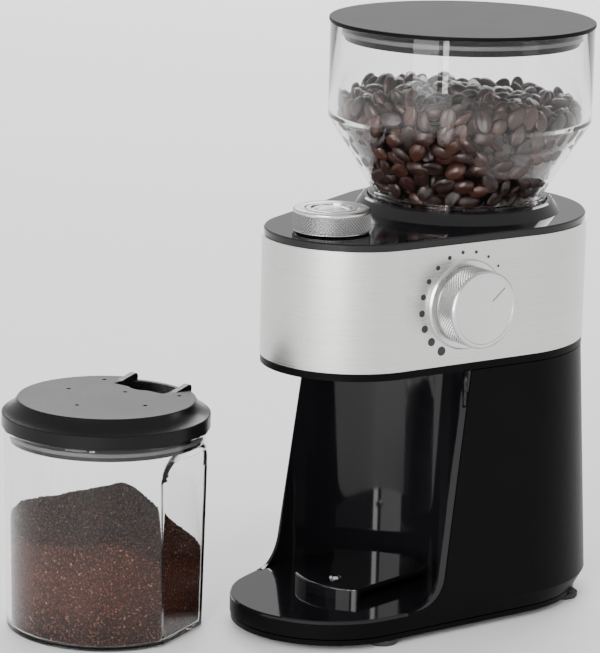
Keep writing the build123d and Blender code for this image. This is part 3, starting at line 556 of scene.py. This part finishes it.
def beanPlaces(look, dice):
    # places against the wall and over the heap's top, each with the direction its thin side faces
    places = []
    crates = {}

    def crate(spot):
        return tuple(int(part // look["spacing"]) for part in spot)

    def free(spot):
        x, y, z = crate(spot)
        near = [other for i in (-1, 0, 1) for j in (-1, 0, 1) for k in (-1, 0, 1)
                for other in crates.get((x + i, y + j, z + k), ())]
        return all((spot - other).length > look["spacing"] for other in near)

    def keep(spot, facing):
        places.append((spot, facing))
        crates.setdefault(crate(spot), []).append(spot)

    def heapTop(x, y):
        return look["top"] + look["mound"] * noise.noise(Vector((x, y, 0)) / 26) - 0.03 * x

    for layer in range(look["layers"]):
        inset = look["wallInset"] + look["layerStep"] * layer
        for attempt in range(look["wallTries"]):
            height = dice.uniform(look["lowest"], look["top"] + 2.5)
            angle = dice.uniform(0, 2 * math.pi)
            reach = innerRadius(height) - inset
            if dice.random() > reach / look["widest"]:
                continue
            spot = Vector((reach * math.cos(angle), reach * math.sin(angle), height))
            if height > heapTop(spot.x, spot.y) or not free(spot):
                continue
            slope = 0.5 if hopperLook["shoulder"] > height > hopperLook["neckTop"] else 0.0
            keep(spot, Vector((math.cos(angle), math.sin(angle), -slope)))
    for layer in range(look["layers"]):
        for attempt in range(look["topTries"]):
            reach = look["topReach"] * math.sqrt(dice.random())
            angle = dice.uniform(0, 2 * math.pi)
            x, y = reach * math.cos(angle), reach * math.sin(angle)
            spot = Vector((x, y, heapTop(x, y) - look["topStep"] * layer + dice.uniform(-0.8, 0.8)))
            if free(spot):
                keep(spot, Vector((dice.gauss(0, look["topTilt"]), dice.gauss(0, look["topTilt"]), 1)))
    return places


def makeBeans(look):
    dice = random.Random(look["seed"])
    shape, shapeFaces, shapeCrease = beanShape(look)
    points, faces, tones, creases = [], [], [], []
    for spot, facing in beanPlaces(look, dice):
        size = dice.uniform(*look["sizes"])
        flip = dice.choice((1, -1))
        facing = facing.normalized() * flip + Vector([dice.gauss(0, look["tilt"]) for axis in range(3)])
        turn = facing.to_track_quat("Z", "Y").to_matrix().to_4x4()
        spin = Matrix.Rotation(dice.uniform(0, 2 * math.pi), 4, "Z")
        move = upright(hopperAxis) @ Matrix.Translation(spot * mm) @ turn @ spin
        first = len(points)
        points += [move @ (point * size) for point in shape]
        faces += [tuple(first + corner for corner in face) for face in shapeFaces]
        tones += [dice.random() ** 1.6] * len(shape)
        creases += shapeCrease
    limit = hopperRadius - hopperLook["wall"] - look["wallGap"]
    for index, point in enumerate(points):
        # nothing reaches into the wall
        x, y = point.x - hopperAxis.x, point.y - hopperAxis.y
        room = min(innerRadius(point.z / mm) - look["wallGap"], limit) * mm
        away = math.hypot(x, y)
        if away > room:
            point.x, point.y = hopperAxis.x + x * room / away, hopperAxis.y + y * room / away
    beans = makePiece("bean_heap", points, faces, finishes["roasted_bean"], 80)
    for name, values in (("tone", tones), ("crease", creases)):
        beans.data.attributes.new(name, "FLOAT", "POINT").data.foreach_set("value", values)
    print("beans:", len(points) // len(shape))
    return beans


beans = makeBeans(beanLook)
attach(beans, "bean_hopper")
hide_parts("coffee_beans")


coreLook = {
    "outline": [(0, 188), (30, 188), (30, 196), (48, 231), (48, 232.5), (0, 232.5)],
    "corner": 2, "segments": 96, "lumps": 160, "lumpDepth": 1.4,
}


def makeBeanCore(look):
    # the beans deeper in, one dark lumpy mass behind the ones that show
    rows = turnedRows(roundedLine(look["outline"], look["corner"], 3))
    points, faces = sweep(rows, look["segments"], upright(hopperAxis))
    for point in points:
        point += noise.noise_vector(point * look["lumps"]) * look["lumpDepth"] * mm
    return makePiece("bean_core", points, faces, finishes["roasted_bean"], 80)


beanCore = makeBeanCore(coreLook)
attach(beanCore, "bean_hopper")
print("beans made")


# ---- grounds container

canLook = {
    "wall": 2.2, "foot": 45.7, "top": 47.3, "height": 96.0, "seat": 33.2, "seatHeight": 6.4,
    "gripDepth": 3.5, "gripTop": 87.5, "gripCorner": 9.0, "turn": 14.8, "ledge": 1.3, "columns": 384,
    "levels": [1.6 + 1.1 * step for step in range(66)] + [74 + 0.35 * step for step in range(52)] + [92.6, 94.4],
    # how far in and how high the rounded foot runs
    "footCurve": [(0.9, 0.5), (0.25, 1.0), (0.0, 1.6)],
}


def gripRadius(look, angle, height, inset):
    # the wall's radius, with the two flat-backed grip recesses pressed in, in millimetres
    plain = look["foot"] + (look["top"] - look["foot"]) * height / look["height"] - inset
    half = math.sqrt(look["foot"] ** 2 - (look["foot"] - look["gripDepth"]) ** 2)
    back = look["foot"] - look["gripDepth"] - inset
    off = (angle - math.radians(look["turn"])) % math.pi - math.pi / 2
    flat = back / math.cos(off)
    across = abs(back * math.tan(off))
    corner = look["gripCorner"] + inset
    straight = max(half + 0.6 * inset - corner, 0)
    top = look["gripTop"] + inset
    if across > straight:
        bend = max(corner ** 2 - (across - straight) ** 2, 0)
        top += math.sqrt(bend) - corner
    share = min(max((height - top) / look["ledge"] + 0.5, 0), 1)
    share = share * share * (3 - 2 * share)
    pressed = min(flat, plain)
    return pressed + (plain - pressed) * share


def wallRow(look, height, inset):
    return lambda angle: (gripRadius(look, angle, height, inset) * mm, height * mm)


def makeCanister(look):
    wall, seat, seatTop = look["wall"], look["seat"], look["seatHeight"]
    levels = look["levels"]
    rows = turnedRows([Vector((0, seatTop)), Vector((seat - 0.5, seatTop)), Vector((seat, seatTop - 0.5)),
                       Vector((seat, 0.4)), Vector((seat + 0.4, 0))])
    rows.append(lambda angle: (gripRadius(look, angle, 0, 1.7) * mm, 0.0))
    for inset, height in look["footCurve"]:
        rows.append(wallRow(look, height, inset))
    rows += [wallRow(look, height, 0) for height in levels]
    rim = look["height"]
    rows += [wallRow(look, rim - 0.3, 0), wallRow(look, rim, 0.3), wallRow(look, rim, wall - 0.3),
             wallRow(look, rim - 0.3, wall)]
    rows += [wallRow(look, height, wall) for height in reversed(levels) if height > wall + 1.5]
    rows += [wallRow(look, wall + 0.7, wall + 0.2), wallRow(look, wall, wall + 1.0)]
    rows += turnedRows([Vector((seat + wall + 0.4, wall)), Vector((seat + wall, wall + 0.5)),
                        Vector((seat + wall, seatTop + wall - 0.5)), Vector((seat + wall - 0.5, seatTop + wall)),
                        Vector((0, seatTop + wall))])
    points, faces = sweep(rows, look["columns"], upright(canAxis))
    return makePiece("canister_clear", points, faces, finishes["clear_canister"], 60)


canister = makeCanister(canLook)
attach(canister, "container")
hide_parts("canister")

groundsLook = {
    "ridge": [(-46, 55.0), (-26, 58.5), (-3, 63.0), (7, 66.0), (20, 57.0), (28, 48.0), (38, 41.5), (46, 35.5)],
    "fall": 0.26, "gap": 0.25, "columns": 300, "rings": 60, "levels": 44, "brimLevel": 40,
    "grains": 5200, "grainSizes": (0.3, 0.8), "seed": 5,
    "across": (0.6664, -0.7456), "towards": (-0.7456, -0.6664),
}


def ridgeHeight(look, along):
    ridge = look["ridge"]
    for (left, low), (right, high) in zip(ridge, ridge[1:]):
        if along <= right:
            share = min(max((along - left) / (right - left), 0), 1)
            return low + (high - low) * share
    return ridge[-1][1]


def heapHeight(look, x, y):
    # a ridge that runs away from the front, falling to both sides and towards the front
    along = x * look["across"][0] + y * look["across"][1]
    front = x * look["towards"][0] + y * look["towards"][1]
    soft = sum(ridgeHeight(look, along + step) for step in (-3, -1.5, 0, 1.5, 3)) / 5
    rough = 1.1 * noise.noise(Vector((x, y, 3)) / 9) + 0.45 * noise.noise(Vector((x, y, 7)) / 2.1)
    return soft - look["fall"] * abs(front + 6) + rough


def makeGrounds(look):
    wall, clear = canLook["wall"], canLook["wall"] + look["gap"]
    seat, seatTop = canLook["seat"] + wall + look["gap"], canLook["seatHeight"] + wall + look["gap"]
    rows = turnedRows([Vector((0, seatTop)), Vector((seat, seatTop)), Vector((seat, clear))])
    levels, brimLevel = look["levels"], look["brimLevel"]

    def sideRow(share):
        def row(angle):
            edge = gripRadius(canLook, angle, brimLevel, clear)
            brim = heapHeight(look, edge * math.cos(angle), edge * math.sin(angle))
            height = clear + (brim - clear) * share
            radius = gripRadius(canLook, angle, height, clear)
            spot = Vector((math.cos(angle) * 60, math.sin(angle) * 60, height))
            return (radius - 0.25 * abs(noise.noise(spot / 1.3)) * min(1, 8 * share)) * mm, height * mm
        return row

    def topRow(share):
        def row(angle):
            radius = gripRadius(canLook, angle, brimLevel, clear) * share
            return radius * mm, heapHeight(look, radius * math.cos(angle), radius * math.sin(angle)) * mm
        return row

    rows += [sideRow(step / levels) for step in range(levels + 1)]
    rows += [topRow(1 - step / look["rings"]) for step in range(1, look["rings"])]
    rows.append(heapHeight(look, 0, 0) * mm)
    points, faces = sweep(rows, look["columns"], upright(canAxis))
    return makePiece("grounds_heap", points, faces, finishes["ground_bean"], 80)


def makeGrains(look):
    # loose granules along the heap's top
    dice = random.Random(look["seed"])
    corners = [Vector(corner) for corner in
               ((1, 0, 0), (-1, 0, 0), (0, 1, 0), (0, -1, 0), (0, 0, 1), (0, 0, -1))]
    sides = [(0, 2, 4), (2, 1, 4), (1, 3, 4), (3, 0, 4), (2, 0, 5), (1, 2, 5), (3, 1, 5), (0, 3, 5)]
    points, faces = [], []
    for index in range(look["grains"]):
        angle = dice.uniform(0, 2 * math.pi)
        reach = (gripRadius(canLook, angle, look["brimLevel"], canLook["wall"]) - 1.1) * math.sqrt(dice.random())
        x, y = reach * math.cos(angle), reach * math.sin(angle)
        size = dice.uniform(*look["grainSizes"])
        centre = Vector((x, y, heapHeight(look, x, y) + 0.15))
        turn = Matrix.Rotation(dice.uniform(0, 6), 3, (dice.random(), dice.random(), 1))
        first = len(points)
        for corner in corners:
            spread = Vector((dice.uniform(0.6, 1.2), dice.uniform(0.6, 1.2), dice.uniform(0.6, 1.2)))
            points.append(upright(canAxis) @ ((centre + turn @ (corner * spread) * size) * mm))
        faces += [tuple(first + corner for corner in side) for side in sides]
    return makePiece("grounds_grains", points, faces, finishes["ground_bean"], 20)


grounds = makeGrounds(groundsLook)
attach(grounds, "container")
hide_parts("ground_coffee")

grains = makeGrains(groundsLook)
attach(grains, "container")
print("container made")


# ---- knurled knobs

def markGrooves(piece, grooves):
    piece.data.attributes.new("groove", "FLOAT", "POINT").data.foreach_set("value", grooves)


def knurledRows(radius, low, high, cells, depth, fine):
    # rows of a band of raised diamonds round a knob, all lengths in millimetres
    pitch = 2 * math.pi * radius / cells
    count = max(round((high - low) / pitch), 1)
    pitch = (high - low) / count
    rows = []

    def knurlRow(height):
        def row(angle):
            turn = cells * angle / (2 * math.pi)
            rise = (height - low) / pitch
            left, right = (turn + rise) % 1, (turn - rise) % 1
            peak = 1 - max(abs(2 * left - 1), abs(2 * right - 1))
            fade = min(1, 4 * (height - low) / pitch, 4 * (high - height) / pitch)
            return (radius - depth + depth * min(1, 1.6 * peak) * fade) * mm, height * mm
        return row

    for step in range(count * fine + 1):
        rows.append(knurlRow(low + pitch * step / fine))
    return rows


def dialMatrix():
    side = Vector((0, 0, 1)).cross(dialOut).normalized()
    turn = Matrix((side, dialOut.cross(side), dialOut)).transposed().to_4x4()
    return Matrix.Translation(dialPoint) @ turn


grindLook = {"radius": 18.1, "low": 2.5, "knurlLow": 3.6, "knurlHigh": 13.9, "face": 15.5, "cells": 68,
             "depth": 0.6, "fine": 6, "rimWidth": 1.1, "dip": 0.35, "hub": 6.2, "hubDepth": 2.2,
             "pointerAngle": 50.0, "pointerOut": 10.3, "pointerSize": (8.4, 0.5, 0.1)}


def makeGrindKnob(look):
    radius, face = look["radius"], look["face"]
    rim = radius - look["rimWidth"] - 0.9
    rows = turnedRows([Vector((look["hub"], look["low"])), Vector((radius - 1.0, look["low"])),
                       Vector((radius - 0.35, look["low"] + 0.35))])
    rows += knurledRows(radius, look["knurlLow"], look["knurlHigh"], look["cells"], look["depth"], look["fine"])
    edge = roundedLine([(radius - 0.42, look["knurlHigh"]), (radius - 0.1, look["knurlHigh"] + 0.15),
                        (radius - 0.1, face - 0.7), (radius - 0.9, face), (rim, face),
                        (rim - 0.35, face - look["dip"]), (0, face - look["dip"])], 0.18, 3, False)
    rows += turnedRows(edge[1:])
    inner = face - look["hubDepth"]
    back = turnedRows([Vector((look["hub"] - 3.0, inner)), Vector((look["hub"], inner))])
    rows = [inner * mm] + back + rows
    points, faces = sweep(rows, look["cells"] * look["fine"], dialMatrix())
    knob = makePiece("grind_knob_body", points, faces, finishes["knob_metal"], 28)
    home = dialMatrix().inverted()
    grooves = []
    for point in points:
        x, y, z = home @ point
        within = look["knurlLow"] < z / mm < look["knurlHigh"]
        grooves.append(within * min(1, max(0, (radius - 0.05 - math.hypot(x, y) / mm) / look["depth"])))
    markGrooves(knob, grooves)
    return knob


def barPiece(name, place, length, width, height, finish):
    # a slim round-ended bar lying along local Y
    line = []
    for step in range(9):
        angle = math.pi * step / 8
        line.append((width / 2 * math.cos(angle), length / 2 + width / 2 * math.sin(angle)))
    line += [(-x, -y) for x, y in line]
    count = len(line)
    points = [place @ Vector((x * mm, y * mm, 0)) for x, y in line]
    points += [place @ Vector((x * mm, y * mm, height * mm)) for x, y in line]
    faces = [tuple(reversed(range(count))), tuple(range(count, 2 * count))]
    faces += [(i, (i + 1) % count, count + (i + 1) % count, count + i) for i in range(count)]
    return makePiece(name, points, faces, finish, 30)


grindKnob = makeGrindKnob(grindLook)
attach(grindKnob, "grind_dial")
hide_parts("grind_knob")

pointerTurn = Matrix.Rotation(-math.radians(grindLook["pointerAngle"]), 4, "Z")
pointerFoot = grindLook["face"] - grindLook["dip"] - 0.05
pointerLift = Matrix.Translation((0, grindLook["pointerOut"] * mm, pointerFoot * mm))
pointer = barPiece("grind_pointer", dialMatrix() @ pointerTurn @ pointerLift, *grindLook["pointerSize"],
                   finishes["magnet_dark"])
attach(pointer, "grind_dial")

selectorLook = {"radius": 18.0, "height": 10.6, "knurlUp": 0.7, "knurlDown": 1.7, "cells": 68, "depth": 0.6,
                "fine": 6, "grooveOut": 12.6, "grooveIn": 11.9, "grooveDepth": 0.8, "wellRadius": 9.75,
                "wellDepth": 4.4}


def makeSelector(look):
    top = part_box("selector_knob")[1].z / mm
    foot = top - look["height"]
    radius = look["radius"]
    rows = [foot * mm] + turnedRows([Vector((radius - 1.1, foot)), Vector((radius - 0.35, foot + 0.4))])
    knurlLow, knurlHigh = foot + look["knurlUp"], top - look["knurlDown"]
    rows += knurledRows(radius, knurlLow, knurlHigh, look["cells"], look["depth"], look["fine"])
    edge = roundedLine([
        (radius - 0.42, knurlHigh), (radius - 0.1, top - 1.55), (radius - 0.1, top - 0.7), (radius - 0.9, top),
        (look["grooveOut"], top), (look["grooveOut"], top - look["grooveDepth"]),
        (look["grooveIn"], top - look["grooveDepth"]), (look["grooveIn"], top),
        (look["wellRadius"], top), (look["wellRadius"], top - look["wellDepth"]), (0, top - look["wellDepth"]),
    ], 0.16, 3, False)
    rows += turnedRows(edge[1:])
    points, faces = sweep(rows, look["cells"] * look["fine"], upright(selectorAxis))
    knob = makePiece("selector_knob_body", points, faces, selectorMetal, 28)
    grooves = []
    for point in points:
        away = math.hypot(point.x - selectorAxis.x, point.y - selectorAxis.y) / mm
        within = knurlLow < point.z / mm < knurlHigh
        grooves.append(within * min(1, max(0, (radius - 0.05 - away) / look["depth"])))
    markGrooves(knob, grooves)
    return knob


selector = makeSelector(selectorLook)
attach(selector, "cup_selector")
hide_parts("selector_knob")


startLook = {"radius": 9.35, "rim": 8.1, "dishRadius": 6.5, "thickness": 2.1, "segments": 128}


def makeStartButton(look):
    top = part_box("start_button")[1].z / mm
    under = top - look["thickness"]
    outline = roundedLine([
        (0, top - 0.35, 0), (look["dishRadius"], top - 0.3, 4), (look["rim"], top, 0.8),
        (look["radius"], top, 0.5), (look["radius"], under, 0.2), (0, under, 0),
    ], 0.3)
    points, faces = sweep(turnedRows(outline), look["segments"], upright(selectorAxis))
    return makePiece("start_button_cap", points, faces, selectorMetal)


startButton = makeStartButton(startLook)
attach(startButton, "start")
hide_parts("start_button")
frame["nodes"]["knob_collar"].data.materials[0] = finishes["knob_metal"]
print("knobs made")


# ---- camera, floor and lights

view = {"aim": (-0.03884, -0.02571, 0.14643), "back": (-0.7265, -0.6494, 0.2248), "distance": 1.6121,
        "lens": 194.5, "roll": 1.35}


def makeCamera(look):
    data = bpy.data.cameras.new("camera")
    data.lens = look["lens"]
    data.clip_end = 30
    camera = bpy.data.objects.new("camera", data)
    bpy.context.scene.collection.objects.link(camera)
    back = Vector(look["back"]).normalized()
    turn = back.to_track_quat("Z", "Y").to_matrix().to_4x4()
    roll = Matrix.Rotation(math.radians(look["roll"]), 4, "Z")
    camera.matrix_world = Matrix.Translation(Vector(look["aim"]) + back * look["distance"]) @ turn @ roll
    bpy.context.scene.camera = camera


makeCamera(view)

floorLook = {"size": 16.0, "pale": (0.95, 0.95, 0.945), "shade": (0.93, 0.93, 0.93)}


def makeFloor(look):
    half = look["size"] / 2
    corners = [(-half, -half, 0), (half, -half, 0), (half, half, 0), (-half, half, 0)]
    shader = Shader("paleFloor", {"Roughness": 0.6, "Specular IOR Level": 0.2})
    drift = shader.cloud(3, 2)
    shader.feed(shader.surface, {"Base Color": shader.blendColour(drift, look["pale"], look["shade"])})
    floor = makePiece("floor", corners, [(0, 1, 2, 3)], shader.material)
    floor.location.z = cadBox[0][2] - 0.1 * mm


makeFloor(floorLook)

studio = {
    "world": 0.8,
    "lamps": {
        # place right of the camera's line, above it and towards the camera, then width, height and power
        "keySoftbox": ((-0.95, 0.35, 1.5), 0.75, 1.5, 30),
        "stripSoftbox": ((-0.45, 0.2, 1.8), 0.16, 1.9, 26),
        "fillSoftbox": ((1.6, 0.5, 0.9), 0.5, 1.4, 4),
        "topSoftbox": ((0.3, 2.0, -3.2), 4.0, 1.6, 160),
    },
}


def makeStudio(look):
    world = bpy.data.worlds.new("studio")
    world.use_nodes = True
    world.node_tree.nodes["Background"].inputs["Color"].default_value = (1, 1, 1, 1)
    world.node_tree.nodes["Background"].inputs["Strength"].default_value = look["world"]
    bpy.context.scene.world = world
    aim = Vector(view["aim"])
    back = Vector((view["back"][0], view["back"][1], 0)).normalized()
    right = Vector((0, 0, 1)).cross(back)
    for name, (place, width, height, power) in look["lamps"].items():
        data = bpy.data.lights.new(name, "AREA")
        data.shape = "RECTANGLE"
        data.size = width
        data.size_y = height
        data.energy = power
        lamp = bpy.data.objects.new(name, data)
        bpy.context.scene.collection.objects.link(lamp)
        spot = aim + right * place[0] + Vector((0, 0, place[1])) + back * place[2]
        lamp.matrix_world = Matrix.Translation(spot) @ (spot - aim).to_track_quat("Z", "Y").to_matrix().to_4x4()


makeStudio(studio)
print("studio made")
